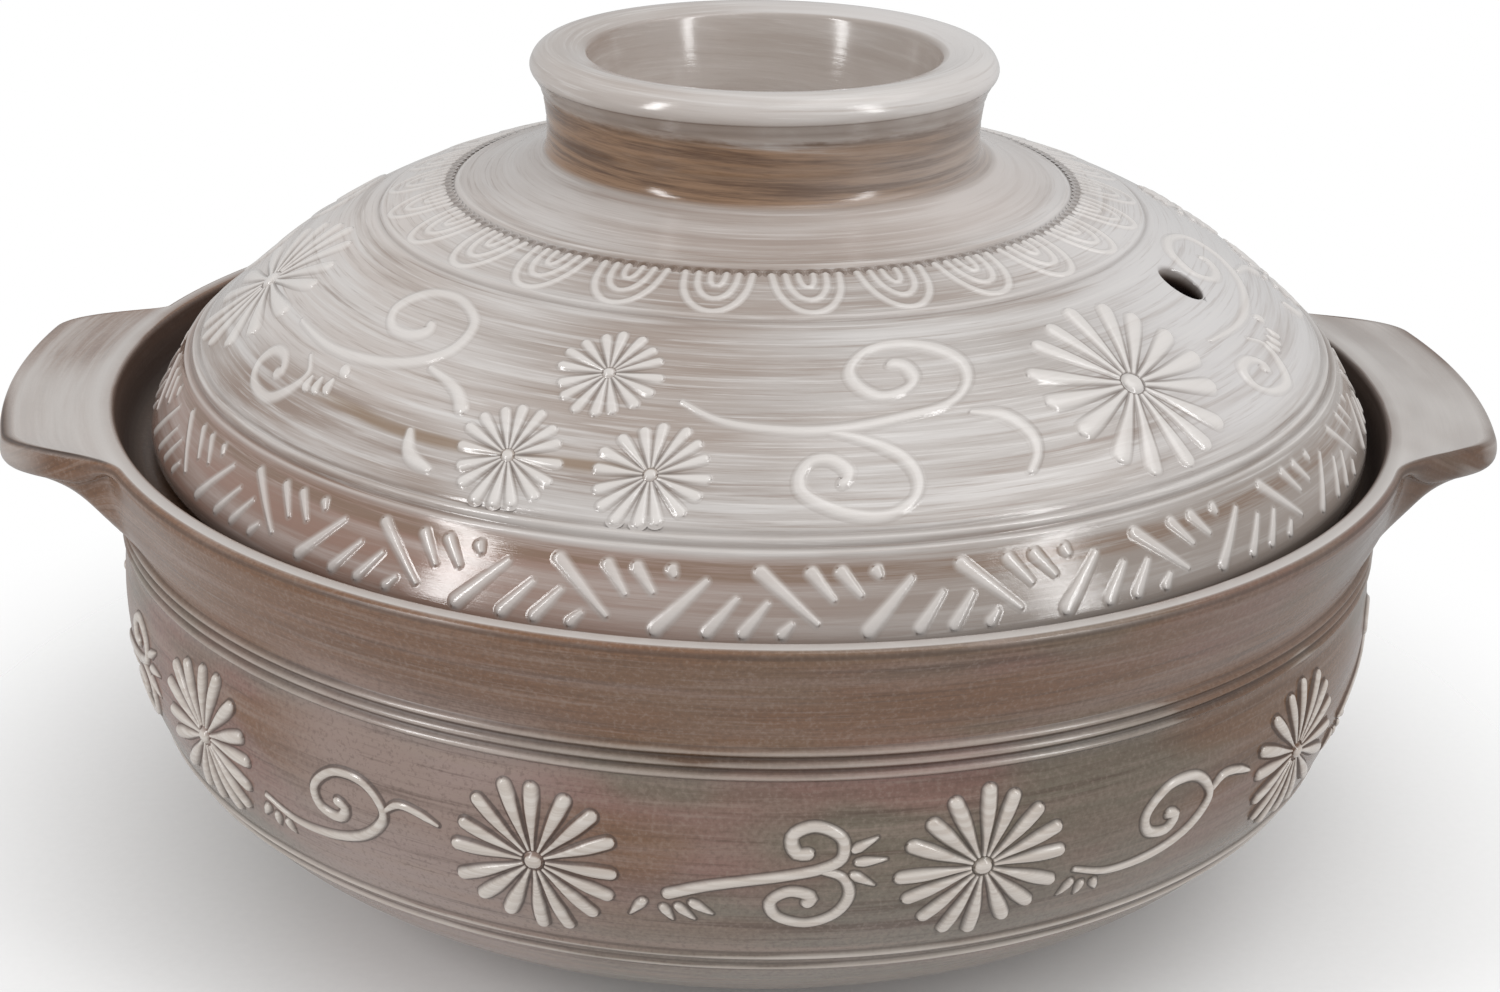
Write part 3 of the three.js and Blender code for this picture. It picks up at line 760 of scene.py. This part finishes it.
# Under the lid, at its edge, in the dome's grooves and in the wheel marks the dark share is pooled glaze and
# painted shade.
lid_profile = np.concatenate([
    lid_rows(hollow_crown, 0, 0.2),
    lid_rows(hollow, 0, 0.2),
    lid_rows(edge, 0, 0.5),
    lid_rows(band),
    lid_rows(dome, np.clip(dome_lift, 0, 1) * 1.2, np.clip(-dome_lift, 0, 1) * 1.6),
    lid_rows(grip_side, 0, 0.55 * grip_marks),
    lid_rows(lip, 0.3 * smooth(33.2, 34.2, lip[:, 0])),
    lid_rows(bore_wall),
    lid_rows(bore),
])
lid_columns = np.linspace(0, 2 * math.pi, 480, endpoint=False)
lid_ones = np.ones(len(lid_columns))
lid_grid = turned_points(lid_profile[:, :1], lid_profile[:, 1:2], lid_columns)
lid_points, lid_faces, lid_slips, lid_pools_and_shade = closed_skin(
    lid_grid, lid_profile[:, 2:3] * lid_ones, lid_profile[:, 3:] * lid_ones
)

# A steam hole pierced straight down through the dome: the skin opens round it and a bore joins both sides.
hole_azimuth = math.radians(62.3)
hole_offset = 81.8
hole_radius = 4.0
hole_middle = turned_points(hole_offset, 0.0, hole_azimuth)[:2]
half_block = 5
hole_column = int(round(hole_azimuth / (2 * math.pi) * len(lid_columns)))
hollow_rows = len(hollow) + len(hollow_crown)
dome_from = hollow_rows + len(edge) + len(band)
dome_radii = lid_profile[dome_from : dome_from + len(dome), 0]
top_row = dome_from + int(np.argmin(np.abs(dome_radii - hole_offset)))
under_row = int(np.argmin(np.abs(lid_profile[:hollow_rows, 0] - hole_offset)))


def block_border(row):
    """Indices of the skin's points round a square block of cells, in turn."""
    low, high = row - half_block, row + half_block
    left, right = hole_column - half_block, hole_column + half_block
    ring = [(low, c) for c in range(left, right)] + [(r, right) for r in range(low, high)]
    ring += [(high, c) for c in range(right, left, -1)] + [(r, left) for r in range(high, low, -1)]
    return [r * len(lid_columns) + c for r, c in ring]


def in_block(face):
    row, column = divmod(min(face), len(lid_columns))
    beside = hole_column - half_block <= column < hole_column + half_block
    off_row = min(abs(row + 0.5 - top_row), abs(row + 0.5 - under_row))
    return len(face) == 4 and beside and off_row < half_block


def turn_about_hole(indices):
    return np.arctan2(*(lid_points[indices, :2] - hole_middle).T[::-1])


lid_faces = [face for face in lid_faces if not in_block(face)]
top_border = block_border(top_row)
under_border = block_border(under_row)[::-1]
border_turn = turn_about_hole(top_border)
turn_apart = np.angle(np.exp(1j * (turn_about_hole(under_border) - border_turn[0])))
first_under = int(np.argmin(np.abs(turn_apart)))
under_border = under_border[first_under:] + under_border[:first_under]

# Rings of the hole, as radius, drop below the dome and share of dark pooled glaze and painted shade; down the
# hole it is painted shade.
hole_rings = [
    (4.6, 0.0, 0.0), (4.35, -0.05, 0.1), (4.12, -0.25, 0.3),
    (hole_radius, -0.7, 0.9), (hole_radius, -4.5, 2.0),
]
around_hole = np.stack([np.cos(border_turn), np.sin(border_turn)], 1)
hole_loops = [top_border]
for ring_radius, drop, pool_and_shade in hole_rings:
    plan = hole_middle + around_hole * ring_radius
    ring_levels = np.interp(np.hypot(*plan.T), dome_curve[:, 0], dome_curve[:, 1]) + drop
    hole_loops.append(list(range(len(lid_points), len(lid_points) + len(plan))))
    lid_points = np.concatenate([lid_points, np.column_stack([plan, ring_levels])])
    lid_slips = np.concatenate([lid_slips, np.zeros(len(plan))])
    lid_pools_and_shade = np.concatenate([lid_pools_and_shade, np.full(len(plan), pool_and_shade)])
hole_loops.append(under_border)
for upper, lower in zip(hole_loops, hole_loops[1:]):
    for k in range(len(upper)):
        after = (k + 1) % len(upper)
        lid_faces.append((upper[k], upper[after], lower[after], lower[k]))
lid = glazed_mesh("lid", set_down(lid_points), lid_faces, lid_slips, lid_pools_and_shade)


def lid_glaze():
    """Pale grey slip brushed round the dome over the brown clay, thicker and whiter in some sweeps."""
    glaze = Shader("lid_glaze")
    span, times = glaze.span, glaze.times
    x, y, level = glaze.parts(glaze.place())
    x = glaze.math("SUBTRACT", x, lid_shift * MM)
    radius = glaze.distance(x, y)
    brushed = glaze.joined(x, y, glaze.math("SUBTRACT", radius, times(level, 0.6)))
    broad = glaze.streaks(brushed, 9, 130, 4.0, 0.6)
    streak = glaze.streaks(brushed, 14, 320, 5.0, 0.62)
    fine = glaze.streaks(brushed, 30, 1200, 5.0, 0.72)
    patch = glaze.streaks(brushed, 12, 44, 3.0, 0.55)

    # Over the dome: painted light at the right and left and on the crown's right, painted shade at the front
    # right, darker low on the right, and thin slip along the lower left front.
    toward_front_right = glaze.math("MULTIPLY_ADD", y, -0.4, x)
    toward_back_right = glaze.math("MULTIPLY_ADD", y, 0.5, x)
    low_dome = span(radius, 0.095, 0.102)
    painted_light_right = times(span(toward_back_right, 0.0, 0.05), span(radius, 0.108, 0.103))
    painted_light_left = times(span(x, -0.03, -0.07, 0.95), span(y, -0.05, -0.01, 1.0, 0.55))
    painted_light_left = times(painted_light_left, span(radius, 0.102, 0.095))
    thin_slip = times(span(x, -0.048, -0.062, 0.8), span(y, -0.03, -0.045), low_dome)
    low_right = times(span(radius, 0.102, 0.108), span(x, 0.05, 0.075, 0.4))
    painted_light_crown_right = times(span(radius, 0.078, 0.066), span(x, 0.01, 0.045, 0.5))
    inside_grip = span(radius, 0.0338, 0.0331)
    recess_tone = glaze.mix(span(x, -0.014, 0.002), (186, 177, 171), (164, 152, 143))
    body = glaze.tinted(
        (166, 152, 143),
        (span(patch, 0.36, 0.62), (192, 186, 182)),
        # painted shade at the front right
        (span(toward_front_right, 0.01, 0.07, 0.5), (172, 165, 160)),
        # painted light at the right and the left, and below on the crown's right
        (times(painted_light_right, 0.75), (224, 222, 222)),
        (painted_light_left, (216, 208, 203)),
        (thin_slip, (140, 118, 104)),
        (low_right, (140, 130, 122)),
        (painted_light_crown_right, (224, 220, 218)),
        # inside the grip: paler at the left, and painted light low in the recess, where it lies in shade
        (times(inside_grip, 0.8), recess_tone),
        (times(inside_grip, span(level, 0.15, 0.141, 0.5)), (206, 198, 192)),
    )

    # Brush streaks, quieter inside the grip and under the painted light at the right, and one that is almost
    # bare.
    calm = glaze.math("MULTIPLY_ADD", inside_grip, -0.6, 1.0)
    calm = times(calm, glaze.math("MULTIPLY_ADD", painted_light_right, -0.3, 1.0))
    bare_radius = glaze.math("MULTIPLY_ADD", patch, 0.004, 0.0975)
    off_bare = glaze.math("ABSOLUTE", glaze.math("SUBTRACT", radius, bare_radius))
    at_left_front = span(glaze.math("MAXIMUM", x, y), -0.012, -0.03)
    bare = times(span(off_bare, 0.0012, 0.0002, 0.75), span(x, -0.085, -0.07), at_left_front)
    body = glaze.tinted(
        body,
        (times(calm, span(broad, 0.5, 0.68, 0.55)), (220, 217, 215)),
        (times(calm, span(broad, 0.47, 0.32, 0.55)), (152, 136, 125)),
        (times(calm, span(streak, 0.5, 0.72, 0.6)), (219, 216, 214)),
        (times(calm, span(streak, 0.47, 0.28, 0.7)), (138, 119, 107)),
        (times(calm, span(fine, 0.5, 0.68, 0.6)), (220, 216, 213)),
        (times(calm, span(fine, 0.47, 0.3, 0.6)), (148, 132, 121)),
        (bare, (140, 116, 92)),
    )

    # The band and the grip's neck show the clay, with a brown streak along the top of the band.
    at_band = times(span(level, 0.1005, 0.0985), span(streak, 0.35, 0.6, 0.6, 0.95))
    # The band is browner at the left, and lightened there partly as a painted highlight.
    band_tone = glaze.mix(span(x, -0.06, 0.04), (152, 120, 106), (150, 139, 131))
    band_streak = times(span(level, 0.0955, 0.0968), span(level, 0.0995, 0.0984))
    band_streak = times(band_streak, span(fine, 0.62, 0.42, 0.75, 0.1))
    outside_grip = span(radius, 0.036, 0.039)
    at_sweep = times(span(level, 0.137, 0.135), span(radius, 0.058, 0.05), span(x, 0.0, 0.04, 0.75, 0.3))
    in_throat = times(span(level, 0.152, 0.1495, 0.7), span(level, 0.1348, 0.1362))
    throat_shade = times(outside_grip, in_throat, span(streak, 0.35, 0.62, 0.5, 1.25))
    uneven = glaze.math("MULTIPLY_ADD", streak, 0.007, -0.0055)
    uneven = glaze.math("MULTIPLY_ADD", fine, 0.004, uneven)
    uneven_level = glaze.math("ADD", level, uneven)
    neck = times(span(level, 0.135, 0.1363), span(uneven_level, 0.1476, 0.146))
    neck = times(neck, outside_grip, span(x, 0.035, -0.012, 0.95, 0.45))
    neck_tone = glaze.mix(span(fine, 0.36, 0.6), (92, 63, 40), (146, 113, 84))
    slip = glaze.attribute("slip")
    pool_and_shade = glaze.attribute("pool_and_shade")
    body = glaze.tinted(
        body,
        (at_band, band_tone),
        (band_streak, (128, 103, 84)),
        (times(outside_grip, at_sweep), (208, 199, 194)),
        (throat_shade, (142, 128, 117)),
        (neck, neck_tone),
        # Dark pooled glaze and painted shade in grooves, round the ornament and under the lid, darkest down
        # the steam hole.
        (times(pool_and_shade, 0.7), (96, 78, 65)),
        (span(pool_and_shade, 0.9, 1.6), (38, 30, 28)),
        (slip, (228, 223, 219)),
    )
    gloss = span(streak, 0.2, 0.8, 0.18, 0.09)
    glaze.glossy(body, gloss, fine, ripple_scale=80.0, strength=0.16)
    return glaze.material


lid_finish = lid_glaze()
lid.data.materials.append(lid_finish)
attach(lid, "lid")
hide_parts("lid_dome", "lid_grip_ring")


# LID ORNAMENT
# The dome carries three large flowers, three clusters of small ones, and scrolls between them, under a
# ring of looped garlands. The band is cut with slanting strokes, standing and hanging in turn.
cluster_count = 3
cluster_azimuth = math.radians(-21.0)
flower_nudge = math.radians(0.8)
loop_count = 26
loop_azimuth = math.radians(-38.4)
pits_per_loop = 6
hatch_count = 22
hatch_azimuth = math.radians(-12.0)
lid_up = np.concatenate([dome_curve, band])[::-1]
lid_up = respaced(lid_up, np.linspace(0, lengths(lid_up)[-1], 600))
lid_up_ways = outward(lid_up)
lid_run = lengths(lid_up)


def place_on_lid(radius):
    return np.interp(-radius, -lid_up[:, 0], lid_run)


flower_place = place_on_lid(92.4)


def on_dome(azimuth, across, up):
    return on_turned(lid_up, lid_up_ways, lid_run, azimuth, across, flower_place + up)


def crescent(t):
    """Half-width of a curved leaf, fullest in its middle."""
    return 0.55 + 0.7 * np.sin(math.pi * t)


# Scrolls and leaves, as millimetres across and up the dome from a cluster's azimuth.
left_scroll = [
    (-71.2, 0.9), (-56.8, -0.1), (-44.3, 1.1), (-34.9, 3.8), (-28.6, 8.3), (-27.2, 14.5), (-32.8, 18.2),
    (-40.4, 17.1), (-46.0, 12.1), (-44.6, 8.3), (-39.6, 8.0), (-35.8, 10.0), (-36.2, 12.0),
]
left_tail = [(-32.0, 3.4), (-25.1, 0.7), (-21.8, -3.4)]
small_scroll = [
    (-61.8, -2.9), (-59.7, -6.1), (-63.0, -10.4), (-68.2, -13.4), (-74.8, -12.7),
    (-77.0, -9.8), (-74.0, -6.3), (-69.4, -5.8), (-67.6, -8.0), (-69.8, -9.6),
]
upper_scroll = [
    (13.7, 4.8), (21.0, 1.4), (30.9, -0.1), (39.5, -0.2), (50.6, 1.5), (57.9, 3.3), (60.2, 7.1),
    (57.9, 11.6), (52.3, 15.1), (45.7, 16.6), (40.9, 15.5), (39.1, 11.7), (41.1, 8.3), (45.5, 5.8),
    (49.5, 6.7), (50.5, 8.9), (48.0, 11.8), (45.0, 12.5),
]
lower_scroll = [
    (34.0, -0.2), (39.6, -0.8), (45.7, -2.7), (51.5, -5.6), (54.9, -9.3), (55.5, -12.9), (52.7, -15.4),
    (48.5, -15.8), (42.7, -14.4), (37.2, -11.5), (36.0, -8.4), (37.3, -5.9), (40.4, -5.7), (43.4, -7.7),
    (43.6, -9.5), (42.4, -10.2),
]
hook = [(61.7, 1.2), (68.1, -0.3), (73.7, -4.3), (75.6, -8.0), (74.8, -11.4)]
scroll_leaves = [
    ((-58.8, -9.2), (-58.0, -5.9)), ((-56.0, -8.8), (-55.3, -5.3)), ((-53.1, -8.0), (-52.2, -4.7)),
]
curved_leaf = [(-30.8, -8.2), (-29.2, -12.6), (-24.2, -14.6)]
cluster_flowers = ((0.6, 9.2, 8.9), (-11.4, -9.0, 9.4), (12.7, -9.2, 9.4))
third = 2 * math.pi / cluster_count
carving = Relief(on_dome, 0.6, 0.75)
for turn in range(cluster_count):
    azimuth = cluster_azimuth + turn * third
    large = azimuth + third / 2 - flower_nudge
    carving.flower(large, (0, 0), 18.6, 1.6, 0.6, slip=0.75, dark=1.7, fade=0.92, stretch=(1.02, 0.94))
    for across, up, size in cluster_flowers:
        carving.flower(azimuth, (across, up), size, 0.85, 0.45, slip=0.8, dark=1.9, fade=0.88)
    for path in (left_scroll, small_scroll, upper_scroll, lower_scroll, hook):
        carving.line(azimuth, path, stroke(0.9, 0.4, 1.1), height=0.4, slip=0.72, dark=0.25, soft=1.5)
    carving.line(azimuth, left_tail, swelling(0.5, 1.4), height=0.6, slip=0.8, dark=0.2, soft=1.4)
    carving.line(azimuth, curved_leaf, crescent, height=0.6, slip=0.8, dark=0.2, soft=1.4)
    carving.dot(azimuth, (-50.3, -2.8), radius=1.3, height=0.5, slip=0.8, dark=0.1)
    for flick in scroll_leaves:
        carving.line(azimuth, flick, leaf(1.2), height=0.5, slip=0.8, dark=0.3, soft=1.2)

# Garland of looped strings hanging from a line of small pits, each string as half-width, drop and thickness.
loop_strings = ((5.7, 11.3, 0.66), (3.4, 7.9, 0.62), (1.3, 4.4, 0.55))
loop_top = place_on_lid(59.6) - flower_place
loop_pitch = 2 * math.pi / loop_count
pit = [(0, loop_top + 0.9), (0, loop_top - 0.9)]
bow = np.linspace(0, math.pi, 11)
for k in range(loop_count):
    azimuth = loop_azimuth + k * loop_pitch
    for half, drop, thick in loop_strings:
        loop = np.stack([-half * np.cos(bow), loop_top - drop * np.sin(bow) ** 0.75], 1)
        carving.line(azimuth, loop, stroke(thick, 0.8, 0.8), height=0.3, slip=0.68, dark=0.25, soft=1.3)
    for pit_number in range(pits_per_loop):
        spot = azimuth + (pit_number - (pits_per_loop - 1) / 2) * loop_pitch / pits_per_loop
        # Each pit is a low dot darkened with pooled glaze and painted shade.
        carving.line(spot, pit, swelling(0.8, 0.8), height=0.06, slip=0.0, dark=1.0, core_pool_and_shade=1.0)

# Slanting strokes of the band, tapering from a pressed start: where each starts across its group, how far
# it runs across and up, and its half-width. They are pressed wider at the front.
standing = [(0.0, 8.2, 8.8, 0.9), (8.2, 4.8, 6.2, 0.8), (13.8, 4.0, 5.6, 0.8), (19.8, 2.0, 2.4, 0.8)]
hanging = [(15.4, 10.4, -8.8, 0.75), (23.4, 4.6, -5.2, 0.72), (28.0, 4.2, -4.6, 0.72), (33.6, 1.3, -1.8, 0.8)]
stroke_taper = 0.35
band_foot = 1.0 - flower_place
band_head = place_on_lid(band_top_radius) - 2.0 - flower_place
for k in range(hatch_count):
    azimuth = hatch_azimuth + k * 2 * math.pi / hatch_count
    press = 1 + 0.35 * smooth(0.6, 0.95, math.cos(azimuth))
    for strokes, level in ((standing, band_foot), (hanging, band_head)):
        for start, run, climb, thick in strokes:
            path = [(start, level), (start + run, level + climb)]
            taper = swelling(press * thick, press * thick * stroke_taper)
            carving.line(azimuth, path, taper, height=0.34, slip=0.7, dark=0.25, soft=1.6)

lid_ornament = carving.mesh("lid_ornament", set_down)
lid_ornament.data.materials.append(lid_finish)
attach(lid_ornament, "lid")


# STUDIO
# A pale floor that fades into an even white surround, with two small soft lamps in front and a broad one
# above. The camera stands a little to the left and above, close to the pot.
photo_width = 1500
focal_pixels = 2507.6
camera_place = (-32.2, -460.3, 255.9)
view_turn = math.radians(-4.04)
view_tilt = math.radians(22.53)
view_roll = math.radians(1.54)
surround_light = 0.56
floor_half = 0.7
lamp_aim = Vector((0, 0, 0.09))


def pale_floor():
    paper = Shader("floor_paper")
    place = paper.place()
    grain = paper.noise(place, 600.0, 2.0)
    away = paper.node("ShaderNodeVectorMath", place, operation="LENGTH").outputs["Value"]
    shade = paper.mix(grain, (247, 247, 247), (252, 252, 252))
    clear = paper.span(away, 0.09, 0.21, 0.0, 1.0)
    paper.fill(paper.surface, {"Base Color": shade, "Roughness": 0.9, "Alpha": clear})
    return paper.material


floor_mesh = bpy.data.meshes.new("floor")
floor_corners = [(x * floor_half, y * floor_half, 0) for x, y in ((-1, -1), (1, -1), (1, 1), (-1, 1))]
floor_mesh.from_pydata(floor_corners, [], [(0, 1, 2, 3)])
floor = bpy.data.objects.new("floor", floor_mesh)
bpy.context.scene.collection.objects.link(floor)
floor_mesh.materials.append(pale_floor())

world = bpy.data.worlds.new("surround")
bpy.context.scene.world = world
world.use_nodes = True
surround = world.node_tree.nodes["Background"]
surround.inputs["Color"].default_value = (1, 1, 1, 1)
path_kind = world.node_tree.nodes.new("ShaderNodeLightPath")
glow = world.node_tree.nodes.new("ShaderNodeMapRange")
glow.inputs["To Min"].default_value = surround_light
glow.inputs["To Max"].default_value = 1.0
world.node_tree.links.new(path_kind.outputs["Is Camera Ray"], glow.inputs["Value"])
world.node_tree.links.new(glow.outputs[0], surround.inputs["Strength"])


def lamp(name, azimuth, elevation, distance, width, height, watts):
    light = bpy.data.lights.new(name, "AREA")
    light.shape = "RECTANGLE"
    light.size = width
    light.size_y = height
    light.energy = watts
    made = bpy.data.objects.new(name, light)
    a = math.radians(azimuth)
    e = math.radians(elevation)
    back = Vector((math.sin(a) * math.cos(e), -math.cos(a) * math.cos(e), math.sin(e)))
    made.location = lamp_aim + back * distance
    made.rotation_euler = (-back).to_track_quat("-Z", "Y").to_euler()
    bpy.context.scene.collection.objects.link(made)


lamp("left_soft_box", -58, 24, 0.95, width=0.12, height=0.6, watts=2.6)
lamp("right_soft_box", 50, 26, 0.95, width=0.11, height=0.6, watts=2.0)
lamp("top_soft_box", 70, 62, 1.1, width=0.8, height=0.8, watts=2.6)

camera_data = bpy.data.cameras.new("camera")
camera_data.sensor_width = 36.0
camera_data.lens = camera_data.sensor_width * focal_pixels / photo_width
camera = bpy.data.objects.new("camera", camera_data)
level_right = Vector((math.cos(view_turn), math.sin(view_turn), 0))
flat = math.cos(view_tilt)
forward = Vector((-math.sin(view_turn) * flat, math.cos(view_turn) * flat, -math.sin(view_tilt)))
level_up = level_right.cross(forward)
right = math.cos(view_roll) * level_right + math.sin(view_roll) * level_up
up = -math.sin(view_roll) * level_right + math.cos(view_roll) * level_up
camera.matrix_world = Matrix((right, up, -forward)).transposed().to_4x4()
camera.location = [along * MM for along in camera_place]
bpy.context.scene.collection.objects.link(camera)
bpy.context.scene.camera = camera
bpy.context.scene.view_settings.view_transform = "Standard"
